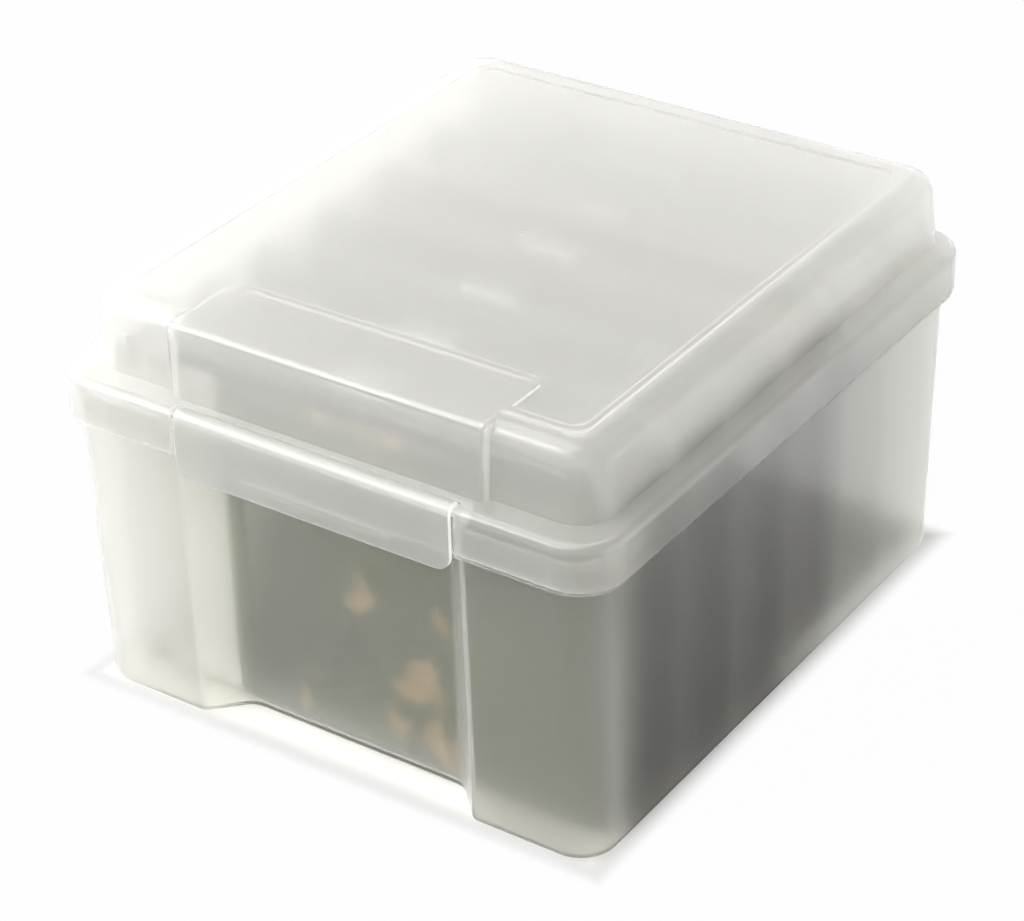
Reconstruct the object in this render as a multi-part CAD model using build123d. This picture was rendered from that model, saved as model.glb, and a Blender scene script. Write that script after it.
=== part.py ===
from build123d import *
import math
import os

# Photo keeper case: a clear moulded tub with a hinged lid and a clip-on front latch,
# holding six slim photo cases that stand on edge behind one another.
# Millimetres. The origin is the middle of the floor. X runs along the front,
# -Y faces the latch and +Z is up.

# ---- Prints: 5 by 7 inch, which the whole product is sized for ----
print_width = 178.0
print_height = 127.0
print_gap = 0.3              # clearance under and behind the prints
print_side_gap = 0.05        # clearance between the prints and the tray's tongue
print_slide = 6.0            # room at each side, and the prints have all slid to the right
stack_room = 21.1            # the deepest stack that a case takes
stack_fill = [0.95, 0.99, 0.9, 0.95]   # how full the first cases are, and the rest are empty
packet_count = 4             # bundles in each stack, each a little out of line
packet_shift = 0.5
front_print_thickness = 0.4  # the picture that stands in the front of the first case

# ---- Photo cases ----
case_count = 6
case_gap = 0.6               # between neighbouring cases
case_wall = 1.3
case_head_room = 7.5         # from the prints' upper edge to the case's top
case_crown_corner = 11.0
case_foot_inner = 1.9        # inside radius, small enough for a print's square corner
case_edge_radius = 2.0
cover_depth = 10.5
tongue_length = 4.0          # the tray's lip that enters the cover
tongue_wall = 1.0
tongue_fit = 0.15
case_seam_gap = 0.1
tab_width = 26.0             # snap tab on the cover's top
tab_reach = 8.0
tab_wall = 1.4
tab_fit = 0.1
knuckle_span = 110.0
knuckle_length = 9.0
knuckle_radius = 2.3
knuckle_pin_radius = 1.1
knuckle_fit = 0.06
knuckle_gap = 0.3

# ---- Room left round the cases in the tub and lid ----
side_room = 13.0             # from the cases to the skirt's face, each side
rear_room = 12.7             # from the last case to the skirt's rear face
case_front_gap = 0.7         # between the recess panel and the first case
lid_head_room = 11.9         # from the snap tabs to the lid's sunk panel

# ---- Tub ----
tub_wall = 1.8
tub_floor = 2.0
tub_side_inset = 4.6         # from the skirt to the tub's wall at the rim
tub_end_inset = 2.4
tub_side_draft = 0.7
tub_end_draft = 3.0
tub_corner = 14.0
tub_floor_radius = 3.0
rim_rise = 9.0               # upstand above the flange, inside the skirt
flange_top = 110.0
flange_thickness = 1.6
flange_inset = 0.7           # the flange stays this far inside the skirt's face
recess_run = 12.5            # how far each slanted side wall of the finger recess reaches
recess_depth = 13.0
recess_edge_radius = 3.0
recess_corner_radius = 9.0
shelf_setback = 2.3          # the flange steps back here behind the latch
seat_gap = 0.2               # between the skirt's lower edge and the flange

# ---- Lid ----
skirt_corner = 17.0
skirt_height = 16.8          # from the skirt's lower edge to the shoulder
skirt_edge_radius = 3.4      # round over the skirt's upper edge
dome_side_inset = 8.6        # from the skirt to the dome's wall at the shoulder
dome_rear_inset = 2.4
dome_side_draft = 0.8        # how far each wall leans in towards the top
dome_front_draft = 1.1
dome_rear_draft = 4.4
dome_corner = 13.0
dome_edge_radius = 8.0
lid_wall = 1.8
border_width = 12.0          # raised border left round the lid's top
panel_sink = 1.2             # the top panel lies this much lower than the border
panel_corner = 6.0
pad_depth = 20.0             # the border runs this much further in behind the bulge
pad_corner = 5.0
bulge_margin = 4.7           # from the rail's webs to the ends of the lid's front bulge
bulge_depth = 3.2
bulge_draft = 1.0
bulge_edge_radius = 2.4
least_radius = 0.4           # left inside where a wall takes up a round
gate_radius = 2.2            # dimple with a nub where the moulding gate was cut off
gate_depth = 0.4
nub_radius = 0.9

# ---- Latch and its rail ----
latch_half_width = 55.5
latch_wall = 1.6
latch_end_gap = 2.0
latch_reach = 5.95           # how far the latch hangs below the flange
latch_corner = 5.5
rail_radius = 1.7
rail_fit = 0.05              # running clearance of the latch's curl on the rail
curl_sweep = 240.0           # degrees that the curl wraps round the rail
curl_relief = 0.3            # clearance between the curl and the shoulder's lip
lip_width = 1.1              # shoulder left between that clearance and the bulge
rail_web = 1.8
rail_web_drop = 4.1          # how far the webs reach below the rail's axis
catch_length = 58.0
catch_height = 2.4
catch_reach = 1.9
catch_gap = 0.3              # clearance between the catch and the flange above it

# ---- Lid hinge ----
hinge_span = 124.0           # between the two hinges' centres
hook_width = 24.0
hook_gap = 0.4               # each side, between the hook and the ears
hook_wall = 1.6
hinge_pin_radius = 2.2
hinge_fit = 0.05             # running clearance of the hook on the pin
hinge_offset = 3.9           # from the skirt's rear face to the pin's axis
hinge_rise = 0.7             # from the flange to the pin's axis
hook_sweep = 250.0           # degrees that the hook wraps round the pin
hook_mouth = 70.0            # degrees below the horizontal where the hook's mouth ends
hook_root_rise = 6.0         # how far the hook's arm climbs the skirt
ear_thickness = 3.0
ear_radius = 3.6
ear_drop = 12.0              # how far down the tub's wall the ears reach
ear_web_angle = 53.0         # where the ear's web leaves its nose, below the horizontal
stop_reach = 3.9             # stop lug on each ear, from the pin's axis
stop_angle = 30.0
stop_radius = 0.8

# ---- Worked out from the sizes above ----
stack_depths = [fill * stack_room for fill in stack_fill]
print_margin = print_side_gap + packet_shift + tongue_wall + tongue_fit + case_wall
case_width = print_width + 2 * (print_margin + print_slide)
case_height = case_wall + print_gap + print_height + case_head_room
case_foot_corner = case_wall + case_foot_inner
case_depth = cover_depth + knuckle_radius + knuckle_gap + stack_room + print_gap + case_wall
case_pitch = case_depth + case_gap

panel_setback = tub_end_inset + tub_end_draft + recess_depth + tub_wall
first_case_setback = panel_setback + case_front_gap
skirt_width = case_width + 2 * side_room
skirt_depth = first_case_setback + case_count * case_pitch - case_gap + rear_room
half_width = skirt_width / 2
half_depth = skirt_depth / 2

skirt_bottom = flange_top + seat_gap
shoulder_top = skirt_bottom + skirt_height
lid_top = tub_floor + case_height + tab_fit + tab_wall + lid_head_room + lid_wall + panel_sink
rim_top = flange_top + rim_rise

curl_inner = rail_radius + rail_fit
curl_outer = curl_inner + latch_wall
rail_y = -half_depth + curl_outer
rail_z = shoulder_top - curl_outer
cut_half_width = latch_half_width + latch_end_gap
recess_half_width = cut_half_width
rail_half_length = cut_half_width + rail_web
bulge_half_width = rail_half_length + bulge_margin
dome_front_inset = 2 * curl_outer + curl_relief + lip_width + bulge_depth
flange_under = flange_top - flange_thickness
latch_low = flange_under - latch_reach

hinge_y = half_depth + hinge_offset
hinge_z = flange_top + hinge_rise
hook_inner = hinge_pin_radius + hinge_fit
hook_outer = hook_inner + hook_wall


def rounded_block(width, front, rear, radius, bottom, top):
    """A rounded rectangle from y = front to y = rear, raised from bottom to top."""
    outline = Pos(0, (front + rear) / 2, bottom) * RectangleRounded(width, rear - front, radius)
    return extrude(outline, top - bottom)


def tapered_block(low, high, bottom, top):
    """A drafted block between two rounded rectangles, each (width, front, rear, radius)."""
    faces = []
    for (width, front, rear, radius), level in ((low, bottom), (high, top)):
        faces.append(Pos(0, (front + rear) / 2, level) * RectangleRounded(width, rear - front, radius))
    return loft(faces, ruled=True)


def edges_at(solid, level):
    """The solid's edges that lie flat at one height."""
    return [edge for edge in solid.edges() if all(abs(v.Z - level) < 1e-4 for v in edge.vertices())]


def bar_along_x(radius, x_low, x_high, y, z):
    """A round bar along X."""
    bar = Pos(x_low, y, z) * Rot(0, 90, 0) * Cylinder(radius, x_high - x_low, align=(
        Align.CENTER, Align.CENTER, Align.MIN))
    return bar


def profile_along_x(points_face, x_low, x_high):
    """Raises a face drawn in (y, z) from x_low to x_high."""
    standing = Plane(origin=(x_low, 0, 0), x_dir=(0, 1, 0), z_dir=(1, 0, 0)) * points_face
    return extrude(standing, x_high - x_low, dir=(1, 0, 0))


def open_ring(inner, outer, start, sweep):
    """A ring drawn in (y, z) that is left open: it starts at an angle and sweeps anticlockwise."""
    mouth = 360 - sweep
    ring = Circle(outer) - Circle(inner)
    far = outer * 3
    points = [(0, 0)]
    for step in range(5):
        angle = math.radians(start - mouth + mouth * step / 4)
        points.append((far * math.cos(angle), far * math.sin(angle)))
    return ring - Polygon(*points, align=None)


# ---- Tub ----

def tub_outline(side_inset, end_inset, level):
    """The tub's outer outline at one height, with the finger recess in its front."""
    x = half_width - side_inset
    y = half_depth - end_inset
    inner_x = recess_half_width - recess_run
    corners = [
        (-x, -y), (-recess_half_width, -y), (-inner_x, -y + recess_depth),
        (inner_x, -y + recess_depth), (recess_half_width, -y), (x, -y), (x, y), (-x, y),
    ]
    radii = [
        tub_corner, recess_edge_radius, recess_corner_radius,
        recess_corner_radius, recess_edge_radius, tub_corner, tub_corner, tub_corner,
    ]
    return Pos(0, 0, level) * make_face(FilletPolyline(*corners, radius=radii, close=True))


def tub_body(shrink, bottom, edge_radius):
    """The tub's drafted block, shrunk by a wall's thickness, from bottom to the rim."""
    rim = tub_outline(tub_side_inset, tub_end_inset, rim_top)
    foot = tub_outline(
        tub_side_inset + tub_side_draft, tub_end_inset + tub_end_draft, bottom)
    if shrink > 0:
        rim = offset(rim, amount=-shrink)
        foot = offset(foot, amount=-shrink)
    block = loft([foot, rim], ruled=True)
    return fillet(edges_at(block, bottom), edge_radius)


def rim_flange():
    """The flange that the skirt sits on, cut back behind the latch."""
    x = skirt_width - 2 * flange_inset
    y = half_depth - flange_inset
    plate = rounded_block(
        x, -y, y, skirt_corner - flange_inset, flange_top - flange_thickness, flange_top)
    step = Box(
        2 * (cut_half_width - latch_end_gap / 2), 2 * shelf_setback, 4 * flange_thickness)
    return plate - Pos(0, -half_depth, flange_top) * step


def hinge_ear(x_centre):
    """One ear that carries the lid's hinge pin, with a lug that stops the open lid."""
    nose = Pos(hinge_y, hinge_z) * Circle(ear_radius)
    angle = math.radians(stop_angle)
    lug = Pos(
        hinge_y + stop_reach * math.cos(angle), hinge_z + stop_reach * math.sin(angle)
    ) * Circle(stop_radius)
    wall_y = half_depth - tub_end_inset - tub_wall / 2
    low = flange_top - ear_drop
    web = math.radians(ear_web_angle)
    gusset = Polygon(
        (wall_y, flange_top - flange_thickness / 2),
        (wall_y, low),
        (wall_y + tub_wall, low),
        (hinge_y + ear_radius * math.cos(web), hinge_z - ear_radius * math.sin(web)),
        (hinge_y, hinge_z),
        (hinge_y - ear_radius, hinge_z),
        (hinge_y - ear_radius, flange_top - flange_thickness / 2),
        align=None,
    )
    shape = nose + gusset + make_hull(nose.edges() + lug.edges())
    return profile_along_x(shape, x_centre - ear_thickness / 2, x_centre + ear_thickness / 2)


def make_tub():
    shell = tub_body(0, 0, tub_floor_radius)
    hollow = tub_body(tub_wall, tub_floor, tub_floor_radius - tub_wall)
    body = shell + rim_flange()
    ear_centre = hook_width / 2 + hook_gap + ear_thickness / 2
    for side in (-1, 1):
        station = side * hinge_span / 2
        relief = bar_along_x(
            hook_outer + hook_gap, station - ear_centre, station + ear_centre, hinge_y, hinge_z)
        body -= relief
        for end in (-1, 1):
            body += hinge_ear(station + end * ear_centre)
        body += bar_along_x(
            hinge_pin_radius, station - ear_centre, station + ear_centre, hinge_y, hinge_z)
    return body - hollow


# ---- Lid ----

def dome_outlines(shrink):
    """The dome's rounded rectangles at the shoulder and at the top."""
    width = skirt_width - 2 * (dome_side_inset + shrink)
    front = -half_depth + dome_front_inset + shrink
    rear = half_depth - dome_rear_inset - shrink
    radius = dome_corner - shrink
    low = (width, front, rear, radius)
    high = (width - 2 * dome_side_draft, front + dome_front_draft, rear - dome_rear_draft, radius)
    return low, high


def dome_block(shrink, bottom, top):
    """The dome, with its top edge rounded over."""
    low, high = dome_outlines(shrink)
    block = tapered_block(low, high, bottom, top)
    return fillet(edges_at(block, top), dome_edge_radius - shrink)


def bulge_block(shrink, bottom, top):
    """The bulge in the lid's front, from the shoulder up over the top edge."""
    front = -half_depth + dome_front_inset - bulge_depth + shrink
    back = -half_depth + dome_front_inset + border_width
    half = bulge_half_width - shrink
    low = Polygon((-half, front), (half, front), (half, back), (-half, back), align=None)
    high = Polygon(
        (-half, front + bulge_draft), (half, front + bulge_draft), (half, back), (-half, back),
        align=None)
    block = loft([Pos(0, 0, bottom) * low, Pos(0, 0, top) * high], ruled=True)
    upright = [
        edge for edge in block.edges()
        if abs(edge.vertices()[0].Z - edge.vertices()[1].Z) > 1
        and max(v.Y for v in edge.vertices()) < back - border_width / 2
    ]
    radius = max(bulge_edge_radius - shrink, least_radius)
    block = fillet(upright, radius)
    crest = [edge for edge in edges_at(block, top) if edge.center().Y < back - 1]
    return fillet(crest, radius)


def top_panel(grow, level, height):
    """The sunk panel of the lid's top: its outline inside the border, less the front pad."""
    low, high = dome_outlines(0)
    width, front, rear, radius = high
    panel = rounded_block(
        width - 2 * border_width + 2 * grow, front + border_width - grow,
        rear - border_width + grow, panel_corner, level, level + height)
    pad_half = bulge_half_width - grow
    pad_rear = front + border_width + pad_depth - grow
    pad = rounded_block(
        2 * pad_half, front, pad_rear, pad_corner, level, level + height)
    return panel - pad


def skirt_block(shrink, bottom, top, edge_radius):
    """The skirt and shoulder as one block with a rounded upper edge."""
    block = rounded_block(
        skirt_width - 2 * shrink, -half_depth + shrink, half_depth - shrink,
        skirt_corner - shrink, bottom, top)
    return fillet(edges_at(block, top), edge_radius)


def hinge_hook(x_centre):
    """The hook on the lid's rear that snaps over a hinge pin."""
    ring = Pos(hinge_y, hinge_z) * open_ring(
        hook_inner, hook_outer, -hook_mouth, hook_sweep)
    root_y = half_depth - lid_wall / 2
    arm = Polygon(
        (root_y, skirt_bottom), (hinge_y, skirt_bottom), (hinge_y, hinge_z + hook_outer),
        (root_y, hinge_z + hook_outer + hook_root_rise), align=None)
    shape = arm - Pos(hinge_y, hinge_z) * Circle((hook_inner + hook_outer) / 2) + ring
    return profile_along_x(shape, x_centre - hook_width / 2, x_centre + hook_width / 2)


def latch_opening():
    """What is cut from the skirt to make room for the latch."""
    lip_y = rail_y + curl_outer + curl_relief
    block = Pos(0, (lip_y - half_depth) / 2 - lid_wall, (skirt_bottom + rail_z) / 2 - lid_wall)
    opening = block * Box(
        2 * cut_half_width, lip_y + half_depth + 2 * lid_wall, rail_z - skirt_bottom + 2 * lid_wall)
    upper = Pos(0, (rail_y - half_depth) / 2 - lid_wall, shoulder_top) * Box(
        2 * cut_half_width, rail_y + half_depth + 2 * lid_wall, 4 * curl_outer)
    swing = bar_along_x(
        curl_outer + curl_relief, -cut_half_width, cut_half_width, rail_y, rail_z)
    return opening + upper + swing


def latch_rail():
    """The rail that the latch turns on, with the webs that carry its ends."""
    rail = bar_along_x(rail_radius, -rail_half_length, rail_half_length, rail_y, rail_z)
    web_front = -half_depth + lid_wall / 2
    web_rear = -half_depth + dome_front_inset - bulge_depth
    web_low = rail_z - rail_web_drop
    web = Polygon(
        (web_front, web_low), (web_rear, web_low), (web_rear, shoulder_top - lid_wall / 2),
        (rail_y, shoulder_top - lid_wall / 2), (web_front, rail_z), align=None)
    left = profile_along_x(web, -rail_half_length, -cut_half_width)
    right = profile_along_x(web, cut_half_width, rail_half_length)
    return rail + left + right


def gate_dimple():
    """The dimple in the middle of the top panel, with the gate's nub standing in it."""
    dimple = Cylinder(gate_radius, 2 * gate_depth) - Cylinder(nub_radius, 2 * gate_depth)
    return Pos(0, 0, lid_top - panel_sink) * dimple


def make_lid():
    outer = skirt_block(0, skirt_bottom, shoulder_top, skirt_edge_radius)
    outer += dome_block(0, shoulder_top - lid_wall, lid_top)
    outer += bulge_block(0, shoulder_top - lid_wall, lid_top)
    outer -= top_panel(0, lid_top - panel_sink, 2 * panel_sink)

    ceiling = lid_top - lid_wall
    inner = dome_block(lid_wall, shoulder_top - 2 * lid_wall, ceiling)
    inner += bulge_block(lid_wall, shoulder_top - 2 * lid_wall, ceiling)
    inner -= top_panel(lid_wall, ceiling - panel_sink, 2 * panel_sink)
    under = skirt_block(
        lid_wall, skirt_bottom - lid_wall, shoulder_top - lid_wall, skirt_edge_radius - lid_wall)

    lid = outer - inner - under - latch_opening() + latch_rail() - gate_dimple()
    for side in (-1, 1):
        lid += hinge_hook(side * hinge_span / 2)
    return lid


# ---- Latch ----

def make_latch():
    ring = Pos(rail_y, rail_z) * open_ring(curl_inner, curl_outer, 180 - curl_sweep, curl_sweep)
    curl = profile_along_x(ring, -latch_half_width, latch_half_width)
    face_y = -half_depth
    flap = Pos(0, face_y + latch_wall / 2, (rail_z + latch_low) / 2) * Box(
        2 * latch_half_width, latch_wall, rail_z - latch_low)
    low_corners = [
        edge for edge in flap.edges()
        if abs(edge.center().Z - latch_low) < 0.1 and abs(edge.center().X) > latch_half_width - 0.1
    ]
    flap = fillet(low_corners, latch_corner)
    catch_top = flange_under - catch_gap
    inside = face_y + latch_wall
    catch = Polygon(
        (inside - latch_wall / 2, catch_top), (inside + catch_reach, catch_top),
        (inside + catch_reach, catch_top - catch_height / 3), (inside, catch_top - catch_height),
        (inside - latch_wall / 2, catch_top - catch_height), align=None)
    return curl + flap + profile_along_x(catch, -catch_length / 2, catch_length / 2)


# ---- Photo cases, drawn standing with their front face at y = 0 and their foot at z = 0 ----

def case_slab(shrink, y_low, y_high):
    """A rounded slab of a case, standing on edge."""
    x = case_width / 2 - shrink
    low = shrink
    high = case_height - shrink
    corners = [(-x, low), (x, low), (x, high), (-x, high)]
    foot = case_foot_corner - shrink
    crown = case_crown_corner - shrink
    outline = make_face(FilletPolyline(*corners, radius=[foot, foot, crown, crown], close=True))
    standing = Plane(origin=(0, y_low, 0), x_dir=(1, 0, 0), z_dir=(0, -1, 0)) * outline
    return extrude(standing, y_high - y_low, dir=(0, 1, 0))


def edges_in_plane(solid, y):
    """The solid's edges that lie in one upright plane."""
    return [edge for edge in solid.edges() if all(abs(v.Y - y) < 1e-4 for v in edge.vertices())]


def knuckle_notch(x_centre, length):
    """Room for the hinge knuckles in a case's lower edge, at the seam."""
    side = knuckle_radius + knuckle_gap
    return Pos(x_centre, cover_depth, 0) * Box(length, 2 * side, 2 * (knuckle_radius + side))


def make_case_tray():
    seam = cover_depth + case_seam_gap
    inside = case_depth - case_wall
    shell = fillet(edges_in_plane(case_slab(0, seam, case_depth), case_depth), case_edge_radius)
    hollow = fillet(
        edges_in_plane(case_slab(case_wall, seam, inside), inside), case_edge_radius - case_wall)
    tongue = case_slab(case_wall + tongue_fit, seam - tongue_length, seam)
    step = case_slab(case_wall / 2, seam, seam + case_wall)
    mouth = case_slab(
        case_wall + tongue_fit + tongue_wall, seam - 2 * tongue_length, seam + 2 * case_wall)
    tray = shell - hollow + (tongue + step - mouth)
    knuckle_x = knuckle_span / 2
    for side in (-1, 1):
        centre = side * knuckle_x
        tray -= knuckle_notch(centre, 3 * knuckle_length + 4 * knuckle_gap)
        for end in (-1, 1):
            middle = centre + end * (knuckle_length + knuckle_gap)
            low = middle - knuckle_length / 2
            barrel = bar_along_x(
                knuckle_radius, low, low + knuckle_length, cover_depth, knuckle_radius)
            arm = Pos(middle, cover_depth, 0) * Box(
                knuckle_length, 2 * knuckle_radius, case_wall,
                align=(Align.CENTER, Align.MIN, Align.MIN))
            bore = bar_along_x(
                knuckle_pin_radius + knuckle_fit, low - 1, low + knuckle_length + 1,
                cover_depth, knuckle_radius)
            tray += barrel + arm - bore
    return tray


def make_case_cover():
    shell = fillet(edges_in_plane(case_slab(0, 0, cover_depth), 0), case_edge_radius)
    hollow = fillet(
        edges_in_plane(case_slab(case_wall, case_wall, 2 * cover_depth), case_wall),
        case_edge_radius - case_wall)
    cover = shell - hollow
    tab_low = case_height + tab_fit
    tab_front = cover_depth - tab_reach / 2
    tab = Polygon(
        (tab_front, case_height - case_wall / 2), (cover_depth, case_height - case_wall / 2),
        (cover_depth, tab_low), (cover_depth + tab_reach, tab_low),
        (cover_depth + tab_reach, tab_low + tab_wall), (tab_front + tab_wall, tab_low + tab_wall),
        (tab_front, case_height), align=None)
    cover += profile_along_x(tab, -tab_width / 2, tab_width / 2)
    knuckle_x = knuckle_span / 2
    for side in (-1, 1):
        centre = side * knuckle_x
        cover -= knuckle_notch(centre, 3 * knuckle_length + 4 * knuckle_gap)
        low = centre - knuckle_length / 2
        barrel = bar_along_x(knuckle_radius, low, low + knuckle_length, cover_depth, knuckle_radius)
        arm = Pos(centre, cover_depth, 0) * Box(
            knuckle_length, 2 * knuckle_radius, case_wall,
            align=(Align.CENTER, Align.MAX, Align.MIN))
        pin_reach = 1.5 * knuckle_length + knuckle_gap
        pin = bar_along_x(
            knuckle_pin_radius, centre - pin_reach, centre + pin_reach, cover_depth, knuckle_radius)
        cover += barrel + arm + pin
    return cover


def make_stack(depth):
    """A stack of prints: a few bundles, each slightly out of line with the next."""
    rear = case_depth - case_wall - print_gap
    low = case_wall + print_gap
    thickness = depth / packet_count
    stack = Part()
    for number in range(packet_count):
        place = print_slide + packet_shift * math.sin(2.4 * number + depth)
        middle = rear - thickness * (number + 0.5)
        packet = Pos(place, middle, low) * Box(
            print_width, thickness, print_height, align=(Align.CENTER, Align.CENTER, Align.MIN))
        stack += packet
    return stack


def make_front_print():
    """The picture that stands right behind the first case's cover."""
    inside = case_wall + print_gap
    return Pos(print_slide, inside, inside) * Box(
        print_width, front_print_thickness, print_height, align=(Align.CENTER, Align.MIN, Align.MIN))


def case_place(number):
    """Where a case stands in the tub, counted from the front."""
    return Pos(0, -half_depth + first_case_setback + number * case_pitch, tub_floor)


def write(node, solid):
    export_step(solid, "parts/" + node + ".step")


def main():
    os.makedirs("parts", exist_ok=True)
    write("tub", make_tub())
    write("lid", make_lid())
    write("latch", make_latch())
    tray = make_case_tray()
    cover = make_case_cover()
    for number in range(case_count):
        name = "case_" + str(number + 1)
        write(name + "_tray", case_place(number) * tray)
        write(name + "_cover", case_place(number) * cover)
        if number < len(stack_depths):
            write(name + "_prints", case_place(number) * make_stack(stack_depths[number]))
    write("case_1_front_print", case_place(0) * make_front_print())


main()
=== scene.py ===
import math

import bpy
from mathutils import Matrix, Vector


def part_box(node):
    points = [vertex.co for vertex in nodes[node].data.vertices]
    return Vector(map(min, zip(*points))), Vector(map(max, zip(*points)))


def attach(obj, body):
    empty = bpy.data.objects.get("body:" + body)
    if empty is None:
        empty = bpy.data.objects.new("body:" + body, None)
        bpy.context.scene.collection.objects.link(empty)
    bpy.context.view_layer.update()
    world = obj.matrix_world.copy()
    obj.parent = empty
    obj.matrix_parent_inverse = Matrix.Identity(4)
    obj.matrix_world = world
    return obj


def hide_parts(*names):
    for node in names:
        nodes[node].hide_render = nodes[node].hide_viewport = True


# A clear keeper for photo cases, dressed for a studio picture. Metres, in the frame's own axes:
# X along the front, -Y out of the latch side, +Z up.

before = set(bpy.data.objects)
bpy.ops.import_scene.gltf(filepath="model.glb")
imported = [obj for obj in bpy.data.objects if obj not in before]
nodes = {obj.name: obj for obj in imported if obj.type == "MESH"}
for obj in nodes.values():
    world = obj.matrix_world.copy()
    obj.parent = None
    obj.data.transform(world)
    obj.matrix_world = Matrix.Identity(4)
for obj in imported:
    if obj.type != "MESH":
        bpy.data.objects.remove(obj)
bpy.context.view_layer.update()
print("frame loaded:", len(nodes), "pieces")


class Wire:
    # A node socket that can be used in sums. Numbers and other wires mix freely.
    def __init__(self, graph, socket):
        self.graph = graph
        self.socket = socket

    def combine(self, operation, first, second):
        made = self.graph.add("ShaderNodeMath", {"operation": operation}, {0: first, 1: second})
        return made["Value"]

    def __add__(self, other):
        return self.combine("ADD", self, other)

    def __radd__(self, other):
        return self.combine("ADD", other, self)

    def __sub__(self, other):
        return self.combine("SUBTRACT", self, other)

    def __rsub__(self, other):
        return self.combine("SUBTRACT", other, self)

    def __mul__(self, other):
        return self.combine("MULTIPLY", self, other)

    def __rmul__(self, other):
        return self.combine("MULTIPLY", other, self)

    def __abs__(self):
        return self.combine("ABSOLUTE", self, 0.0)


class Outputs:
    def __init__(self, graph, made):
        self.graph = graph
        self.made = made

    def __getitem__(self, key):
        return Wire(self.graph, self.made.outputs[key])

    def wire(self, number):
        return Wire(self.graph, self.made.outputs[number])


class Graph:
    # Adds nodes to one tree: type, then settings, then the values or wires of its sockets.
    def __init__(self, tree):
        self.tree = tree

    def add(self, kind, settings=None, inputs=None):
        made = self.tree.nodes.new(kind)
        for key, value in (settings or {}).items():
            if key == "stops":
                self.setStops(made.color_ramp, value)
            else:
                setattr(made, key, value)
        for key, value in (inputs or {}).items():
            if isinstance(value, Wire):
                self.tree.links.new(value.socket, made.inputs[key])
            else:
                made.inputs[key].default_value = value
        return Outputs(self, made)

    def setStops(self, ramp, stops):
        while len(ramp.elements) < len(stops):
            ramp.elements.new(0.5)
        for element, (place, colour) in zip(ramp.elements, stops):
            element.position = place
            element.color = (*colour, 1.0)

    def mixColour(self, share, first, second):
        made = self.add(
            "ShaderNodeMix", {"data_type": "RGBA"}, {0: share, 6: first, 7: second})
        return made.wire(2)

    def ramp(self, value, low, high):
        made = self.add(
            "ShaderNodeMapRange", {"interpolation_type": "SMOOTHSTEP"},
            {"Value": value, "From Min": low, "From Max": high})
        return made["Result"]

    def clamped(self, value):
        made = self.add("ShaderNodeMath", {"operation": "MINIMUM"}, {0: value, 1: 1.0})
        return made["Value"]

    def larger(self, first, second):
        made = self.add("ShaderNodeMath", {"operation": "MAXIMUM"}, {0: first, 1: second})
        return made["Value"]

    def noise(self, vector, scale, detail=3.0, roughness=0.5):
        made = self.add(
            "ShaderNodeTexNoise", {},
            {"Vector": vector, "Scale": scale, "Detail": detail, "Roughness": roughness})
        return made["Fac"]

    def stretched(self, vector, scales):
        made = self.add("ShaderNodeMapping", {}, {"Vector": vector, "Scale": scales})
        return made["Vector"]


def newMaterial(name):
    material = bpy.data.materials.new(name)
    material.use_nodes = True
    material.node_tree.nodes.clear()
    return material, Graph(material.node_tree)


def solid(colour):
    return (*colour, 1.0)


def finishMaterial(graph, shader):
    graph.add("ShaderNodeOutputMaterial", {}, {"Surface": shader})


# Frosted polypropylene: a rough see-through wall with a milky share that spreads light.
# To shadow rays it is plainly clear, so the lamps reach what lies inside.
plasticLooks = {
    "tub": {
        "tint": (0.965, 0.962, 0.938), "shade": (0.945, 0.938, 0.908), "clear": 0.97,
        "milk": 0.11, "milkColour": (0.94, 0.94, 0.91), "lampTint": (0.80, 0.80, 0.78),
        "roughness": 0.30, "ripple": 0.03, "scuff": 0.04, "grain": 0.015, "grainScale": 900.0,
        "gloss": 0.5, "glossRoughness": 0.14,
    },
    "lid": {
        "tint": (0.972, 0.97, 0.955), "shade": (0.952, 0.95, 0.93), "clear": 0.84,
        "milk": 0.16, "milkColour": (0.95, 0.945, 0.925), "lampTint": (0.62, 0.62, 0.605),
        "roughness": 0.20, "ripple": 0.05, "scuff": 0.04, "grain": 0.015, "grainScale": 900.0,
        "gloss": 0.5, "glossRoughness": 0.14,
    },
    "latch": {
        "tint": (0.97, 0.975, 0.96), "shade": (0.95, 0.955, 0.935), "clear": 0.88,
        "milk": 0.35, "milkColour": (0.94, 0.95, 0.93), "lampTint": (0.88, 0.88, 0.87),
        "roughness": 0.22, "ripple": 0.03, "scuff": 0.04, "grain": 0.015, "grainScale": 900.0,
        "gloss": 0.5, "glossRoughness": 0.14,
    },
    "case": {
        "tint": (0.99, 0.99, 0.985), "shade": (0.98, 0.98, 0.97), "clear": 0.99,
        "milk": 0.03, "milkColour": (0.95, 0.96, 0.96), "lampTint": (0.955, 0.955, 0.95),
        "roughness": 0.12, "ripple": 0.04, "scuff": 0.05, "grain": 0.015, "grainScale": 1100.0,
        "gloss": 0.2, "glossRoughness": 0.12,
    },
}


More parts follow.
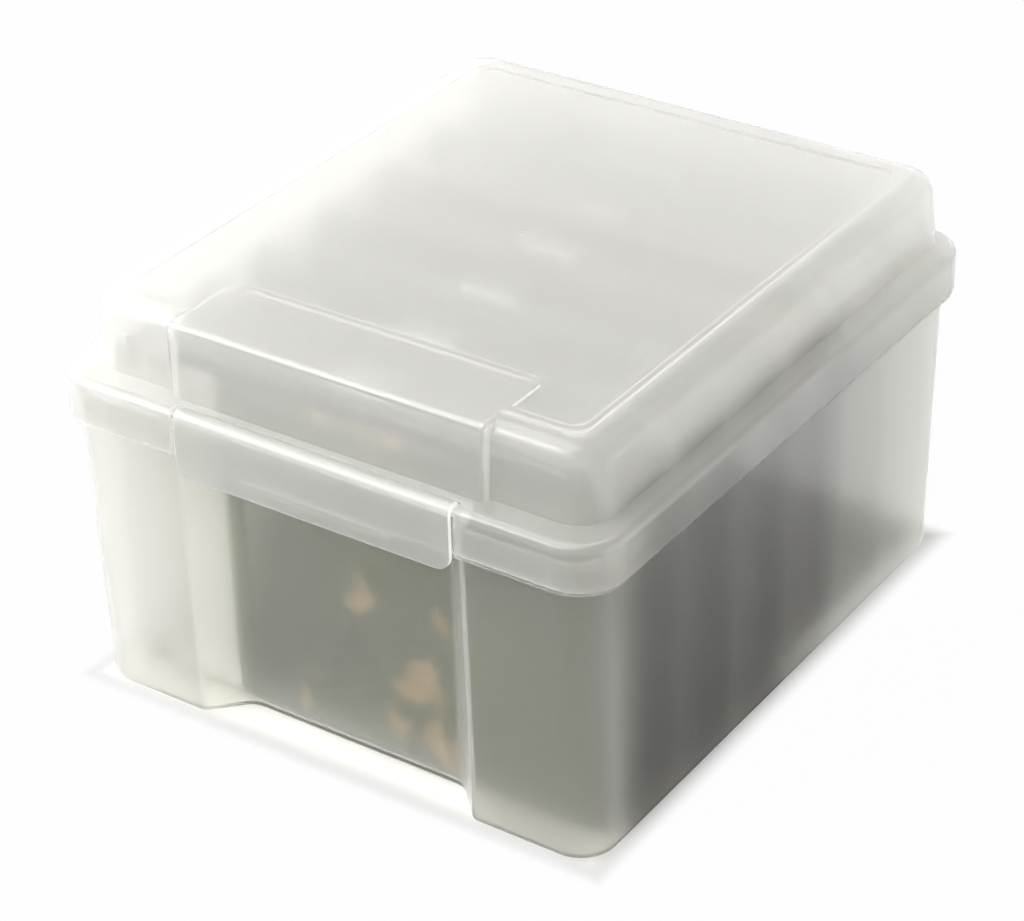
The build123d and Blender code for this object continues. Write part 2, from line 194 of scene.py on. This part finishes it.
def frostedPlastic(name, look):
    material, graph = newMaterial(name)
    place = graph.add("ShaderNodeTexCoord")["Object"]
    flow = graph.noise(place, 14.0, 2.0)
    scratches = graph.noise(graph.stretched(place, (60.0, 420.0, 900.0)), 1.0, 2.0, 0.6)
    scuffs = graph.ramp(scratches, 0.62, 0.78)
    grain = graph.noise(place, look["grainScale"], 2.0)
    colour = graph.mixColour(graph.ramp(flow, 0.35, 0.7), solid(look["tint"]), solid(look["shade"]))
    roughness = look["roughness"] + (flow - 0.5) * look["ripple"] + scuffs * look["scuff"]
    bump = graph.add(
        "ShaderNodeBump", {}, {"Strength": look["grain"], "Distance": 0.0002, "Height": grain})
    glassy = graph.add("ShaderNodeBsdfPrincipled", {}, {
        "Base Color": colour, "Roughness": roughness, "IOR": 1.49,
        "Transmission Weight": look["clear"], "Coat Weight": look["gloss"],
        "Coat Roughness": look["glossRoughness"], "Normal": bump["Normal"]})
    milky = graph.add("ShaderNodeBsdfTranslucent", {}, {"Color": solid(look["milkColour"])})
    body = graph.add("ShaderNodeMixShader", {}, {
        0: look["milk"], 1: glassy["BSDF"], 2: milky["BSDF"]})
    clear = graph.add("ShaderNodeBsdfTransparent", {}, {"Color": solid(look["lampTint"])})
    path = graph.add("ShaderNodeLightPath")
    wall = graph.add("ShaderNodeMixShader", {}, {
        0: path["Is Shadow Ray"], 1: body["Shader"], 2: clear["BSDF"]})
    finishMaterial(graph, wall["Shader"])
    return material


# Photographic prints: satin faces, with tones that vary from sheet to sheet
printLooks = {
    "dark": {"low": (0.016, 0.015, 0.013), "high": (0.10, 0.093, 0.08), "roughness": 0.45},
    "warm": {"low": (0.16, 0.125, 0.08), "high": (0.44, 0.37, 0.27), "roughness": 0.5},
}
frontPrint = {
    "field": (0.045, 0.068, 0.008), "haze": (0.125, 0.165, 0.035), "pale": (0.86, 0.86, 0.82),
    "paleEdge": -0.054, "paleSoft": 0.003,   # where the pale left part ends, along X: pale print, with painted light from the left lamp laid over it
    "blossom": (0.68, 0.46, 0.19), "blossomScale": 52.0, "blossomLow": 0.56, "blossomHigh": 0.74,
    "blossomEdge": 0.05, "blossomFade": 0.03,   # the blossoms thin out towards the sides
    "roughness": 0.4,
}


def printPaper(name, look):
    material, graph = newMaterial(name)
    place = graph.add("ShaderNodeTexCoord")["Object"]
    tone = graph.add("ShaderNodeAttribute", {"attribute_name": "sheetTone"})["Fac"]
    patches = graph.noise(place, 22.0, 3.0)
    share = graph.ramp(tone * 0.7 + patches * 0.5, 0.2, 0.95)
    colour = graph.mixColour(share, solid(look["low"]), solid(look["high"]))
    shader = graph.add("ShaderNodeBsdfPrincipled", {}, {
        "Base Color": colour, "Roughness": look["roughness"] + patches * 0.1, "IOR": 1.5})
    finishMaterial(graph, shader["BSDF"])
    return material


def frontPrintPaper(name, look):
    material, graph = newMaterial(name)
    place = graph.add("ShaderNodeTexCoord")["Object"]
    parts = graph.add("ShaderNodeSeparateXYZ", {}, {"Vector": place})
    haze = graph.ramp(graph.noise(place, 16.0, 2.0), 0.3, 0.75)
    meadow = graph.mixColour(haze, solid(look["field"]), solid(look["haze"]))
    patches = graph.noise(place, look["blossomScale"], 1.0)
    middle = graph.ramp(abs(parts["X"]), look["blossomEdge"], look["blossomFade"])
    blossoms = graph.ramp(patches, look["blossomLow"], look["blossomHigh"]) * middle
    sunlit = graph.mixColour(blossoms, meadow, solid(look["blossom"]))
    # The pale left part is partly the print's own pale part and partly painted light, the glow of
    # the left lamp through the left wall
    paleAndLitLeft = graph.ramp(
        parts["X"], look["paleEdge"] + look["paleSoft"], look["paleEdge"] - look["paleSoft"])
    colour = graph.mixColour(paleAndLitLeft, sunlit, solid(look["pale"]))
    shader = graph.add("ShaderNodeBsdfPrincipled", {}, {
        "Base Color": colour, "Roughness": look["roughness"] + haze * 0.08, "IOR": 1.5})
    finishMaterial(graph, shader["BSDF"])
    return material


# Stacks of loose sheets, built by one node tree
sheetStack = {"thickness": 0.00024, "gap": 0.00002, "drift": 0.0004, "lift": 0.0005}


def stackTree():
    tree = bpy.data.node_groups.new("printStack", "GeometryNodeTree")
    ports = {}
    for name, kind in (
            ("Width", "NodeSocketFloat"), ("Height", "NodeSocketFloat"),
            ("Thickness", "NodeSocketFloat"), ("Pitch", "NodeSocketFloat"),
            ("Drift", "NodeSocketFloat"), ("Lift", "NodeSocketFloat"),
            ("Start", "NodeSocketVector"), ("Count", "NodeSocketInt"),
            ("Seed", "NodeSocketInt"), ("Paper", "NodeSocketMaterial")):
        made = tree.interface.new_socket(name, in_out="INPUT", socket_type=kind)
        ports[name] = made.identifier
    tree.interface.new_socket("Geometry", in_out="OUTPUT", socket_type="NodeSocketGeometry")
    graph = Graph(tree)
    given = graph.add("NodeGroupInput")
    step = graph.add("ShaderNodeCombineXYZ", {}, {"Y": given["Pitch"]})["Vector"]
    row = graph.add("GeometryNodeMeshLine", {"mode": "OFFSET"}, {
        "Count": given["Count"], "Start Location": given["Start"], "Offset": step})["Mesh"]
    size = graph.add("ShaderNodeCombineXYZ", {}, {
        "X": given["Width"], "Y": given["Thickness"], "Z": given["Height"]})["Vector"]
    sheet = graph.add("GeometryNodeMeshCube", {}, {"Size": size})["Mesh"]
    index = graph.add("GeometryNodeInputIndex")["Index"]
    sideways = graph.add("FunctionNodeRandomValue", {"data_type": "FLOAT"}, {
        2: -1.0, 3: 1.0, "ID": index, "Seed": given["Seed"]}).wire(1)
    upwards = graph.add("FunctionNodeRandomValue", {"data_type": "FLOAT"}, {
        2: -1.0, 3: 0.0, "ID": index, "Seed": given["Seed"] + 7}).wire(1)
    shift = graph.add("ShaderNodeCombineXYZ", {}, {
        "X": sideways * given["Drift"], "Z": upwards * given["Lift"]})["Vector"]
    moved = graph.add("GeometryNodeSetPosition", {}, {"Geometry": row, "Offset": shift})["Geometry"]
    copies = graph.add("GeometryNodeInstanceOnPoints", {}, {
        "Points": moved, "Instance": sheet})["Instances"]
    bundles = graph.add("ShaderNodeTexNoise", {"noise_dimensions": "1D"}, {
        "W": index * 0.16 + given["Seed"], "Scale": 1.0, "Detail": 3.0}).wire(0)
    named = graph.add(
        "GeometryNodeStoreNamedAttribute", {"data_type": "FLOAT", "domain": "INSTANCE"},
        {"Geometry": copies, "Name": "sheetTone", "Value": bundles})["Geometry"]
    real = graph.add("GeometryNodeRealizeInstances", {}, {"Geometry": named})["Geometry"]
    done = graph.add("GeometryNodeSetMaterial", {}, {
        "Geometry": real, "Material": given["Paper"]})["Geometry"]
    graph.add("NodeGroupOutput", {}, {"Geometry": done})
    return tree, ports


def makeStack(node, tree, ports, paper, seed):
    low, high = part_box(node)
    pitch = sheetStack["thickness"] + sheetStack["gap"]
    count = int((high[1] - low[1]) / pitch)
    width = high[0] - low[0] - 2 * sheetStack["drift"]
    height = high[2] - low[2]
    values = {
        "Width": width, "Height": height - sheetStack["lift"],
        "Thickness": sheetStack["thickness"], "Pitch": pitch, "Drift": sheetStack["drift"],
        "Lift": sheetStack["lift"], "Count": count, "Seed": seed, "Paper": paper,
        "Start": ((low[0] + high[0]) / 2, low[1] + pitch / 2, (low[2] + high[2]) / 2
                  + sheetStack["lift"] / 2),
    }
    base = bpy.data.objects.new(node + "_base", bpy.data.meshes.new(node + "_base"))
    bpy.context.scene.collection.objects.link(base)
    modifier = base.modifiers.new("printStack", "NODES")
    modifier.node_group = tree
    for name, value in values.items():
        modifier[ports[name]] = value
    bpy.context.view_layer.update()
    mesh = bpy.data.meshes.new_from_object(base.evaluated_get(bpy.context.evaluated_depsgraph_get()))
    bpy.data.objects.remove(base)
    stack = bpy.data.objects.new(node.replace("prints", "sheets"), mesh)
    bpy.context.scene.collection.objects.link(stack)
    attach(stack, "tub_and_cases")
    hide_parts(node)
    return stack


def dress(node, material):
    mesh = nodes[node].data
    mesh.materials.clear()
    mesh.materials.append(material)


caseCount = 6
fullCases = 4   # the last two stand empty
plastics = {kind: frostedPlastic(kind + "Plastic", look) for kind, look in plasticLooks.items()}
dress("tub", plastics["tub"])
dress("lid", plastics["lid"])
dress("latch", plastics["latch"])
for number in range(1, caseCount + 1):
    dress("case_%d_tray" % number, plastics["case"])
    dress("case_%d_cover" % number, plastics["case"])
papers = {kind: printPaper(kind + "Prints", look) for kind, look in printLooks.items()}
tree, ports = stackTree()
for number in range(1, fullCases + 1):
    kind = "warm" if number == fullCases else "dark"
    dress("case_%d_prints" % number, papers[kind])
    made = makeStack("case_%d_prints" % number, tree, ports, papers[kind], number)
    print("stack", number, "has", len(made.data.polygons) // 6, "sheets")
dress("case_1_front_print", frontPrintPaper("frontPrintPaper", frontPrint))
print("pieces dressed")

# Studio: a pale floor that stays white to the camera but keeps the soft shadow
studio = {
    "floorHalf": 4.0, "floorColour": (0.28, 0.28, 0.28), "beneathColour": (0.92, 0.91, 0.89),
    "floorGlow": 0.985,
    "shadowReach": (-0.006, 0.008),  # metres out from the tub, as the camera sees the floor
    "mirrorReach": (0.0, 0.6),       # and as the plastic mirrors it: painted shadow out this far on the right and front
    "emptyReach": (-0.01, 0.05), "emptyShare": 1.0,   # painted light: the floor glows beneath the empty cases, where the tub shades it
    "worldColour": (1.0, 0.99, 0.975), "worldStrength": 0.4,
    "lamps": (
        {"name": "softboxBehind", "place": (-1.35, 1.1, 1.0), "size": 1.3, "power": 0.8},
        {"name": "backLow", "place": (-0.3, 1.9, 0.45), "size": 1.0, "power": 1.5},
        {"name": "windowLeft", "place": (-1.8, 0.1, 0.5), "size": 1.1, "power": 35.0},
        {"name": "windowFront", "place": (-1.35, -1.2, 1.1), "size": 1.2, "power": 18.0},
        {"name": "overhead", "place": (-0.5, -0.9, 1.7), "size": 1.9, "power": 23.5},
        {"name": "rightFill", "place": (1.8, -0.6, 0.8), "size": 1.2, "power": 0.5},
    ),
    "aim": (0.0, 0.0, 0.07),
}


def seenDirectly(graph):
    path = graph.add("ShaderNodeLightPath")
    return graph.clamped(
        path["Is Camera Ray"] + path["Is Glossy Ray"] + path["Is Transmission Ray"])


def floorMasks(graph):
    # First, how much of the floor's white glow shows: none beneath the full cases, and painted light
    # beneath the empty ones. Plastic shows the glow whole to the left and behind, as painted light,
    # and less on the other sides, as painted shadow.
    # Second, 0 beneath the tub and 1 outside it.
    foot = [vertex.co for vertex in nodes["tub"].data.vertices if vertex.co.z < 0.001]
    halfWidth = max(point.x for point in foot)
    halfDepth = max(point.y for point in foot)
    place = graph.add("ShaderNodeTexCoord")["Object"]
    parts = graph.add("ShaderNodeSeparateXYZ", {}, {"Vector": place})
    away = graph.larger(abs(parts["X"]) - halfWidth, abs(parts["Y"]) - halfDepth)
    beyond = graph.larger(parts["X"] * -1.0 - halfWidth, parts["Y"] - halfDepth)
    near = graph.ramp(away, *studio["shadowReach"])
    # Painted light to the left and behind, and painted shadow out to 0.6 m on the right and front,
    # as the plastic mirrors the floor
    paintedLightAndShadow = graph.larger(graph.ramp(away, *studio["mirrorReach"]), graph.ramp(beyond, 0.0, 0.01))
    path = graph.add("ShaderNodeLightPath")
    through = graph.clamped(path["Is Glossy Ray"] + path["Is Transmission Ray"])
    # Painted light: the floor glows beneath the empty cases to rays through the plastic, though the
    # tub shades it
    paintedLightBelow = graph.ramp(parts["Y"], *studio["emptyReach"]) * studio["emptyShare"] * (1.0 - near)
    return graph.clamped(path["Is Camera Ray"] * near + through * (near * paintedLightAndShadow + paintedLightBelow)), near


def makeFloor():
    half = studio["floorHalf"]
    mesh = bpy.data.meshes.new("studioFloor")
    mesh.from_pydata(
        [(-half, -half, 0.0), (half, -half, 0.0), (half, half, 0.0), (-half, half, 0.0)], [],
        [(0, 1, 2, 3)])
    floor = bpy.data.objects.new("studioFloor", mesh)
    floor.location.z = -0.0002
    bpy.context.scene.collection.objects.link(floor)
    material, graph = newMaterial("studioFloor")
    white, outside = floorMasks(graph)
    colour = graph.mixColour(
        outside, solid(studio["beneathColour"]), solid(studio["floorColour"]))
    paint = graph.add("ShaderNodeBsdfDiffuse", {}, {"Color": colour})
    glow = graph.add("ShaderNodeEmission", {}, {"Color": (1.0, 1.0, 1.0, 1.0), "Strength": 1.0})
    share = white * studio["floorGlow"]
    mixed = graph.add("ShaderNodeMixShader", {}, {0: share, 1: paint["BSDF"], 2: glow["Emission"]})
    finishMaterial(graph, mixed["Shader"])
    mesh.materials.append(material)


def makeWorld():
    world = bpy.data.worlds.new("studioWorld")
    bpy.context.scene.world = world
    world.use_nodes = True
    world.node_tree.nodes.clear()
    graph = Graph(world.node_tree)
    seen = seenDirectly(graph)
    strength = seen * (1.0 - studio["worldStrength"]) + studio["worldStrength"]
    sky = graph.add(
        "ShaderNodeBackground", {}, {"Color": solid(studio["worldColour"]), "Strength": strength})
    graph.add("ShaderNodeOutputWorld", {}, {"Surface": sky["Background"]})


def makeLamps():
    aim = Vector(studio["aim"])
    for look in studio["lamps"]:
        data = bpy.data.lights.new(look["name"], "AREA")
        data.shape = "SQUARE"
        data.size = look["size"]
        data.energy = look["power"]
        lamp = bpy.data.objects.new(look["name"], data)
        lamp.location = look["place"]
        lamp.rotation_mode = "QUATERNION"
        lamp.rotation_quaternion = (aim - lamp.location).to_track_quat("-Z", "Y")
        bpy.context.scene.collection.objects.link(lamp)


# Camera, placed from the picture's own perspective
camera = {
    "azimuth": 34.725, "elevation": 31.454, "roll": -1.375, "distance": 1.1102,
    "target": (0.00056, -0.0102, 0.0666), "lens": 109.2, "sensor": 36.0,
}


def makeCamera():
    turn = math.radians(camera["azimuth"])
    lift = math.radians(camera["elevation"])
    back = Vector((
        math.sin(turn) * math.cos(lift), -math.cos(turn) * math.cos(lift), math.sin(lift)))
    right = Vector((math.cos(turn), math.sin(turn), 0.0))
    up = back.cross(right)
    roll = math.radians(camera["roll"])
    rolledRight = right * math.cos(roll) + up * math.sin(roll)
    rolledUp = up * math.cos(roll) - right * math.sin(roll)
    data = bpy.data.cameras.new("studioCamera")
    data.sensor_fit = "HORIZONTAL"
    data.sensor_width = camera["sensor"]
    data.lens = camera["lens"]
    data.clip_start = 0.01
    data.clip_end = 50.0
    made = bpy.data.objects.new("studioCamera", data)
    made.rotation_mode = "QUATERNION"
    made.rotation_quaternion = Matrix((rolledRight, rolledUp, back)).transposed().to_quaternion()
    made.location = Vector(camera["target"]) + back * camera["distance"]
    bpy.context.scene.collection.objects.link(made)
    bpy.context.scene.camera = made


makeFloor()
makeWorld()
makeLamps()
makeCamera()
bpy.context.scene.view_settings.view_transform = "Standard"
print("studio ready")
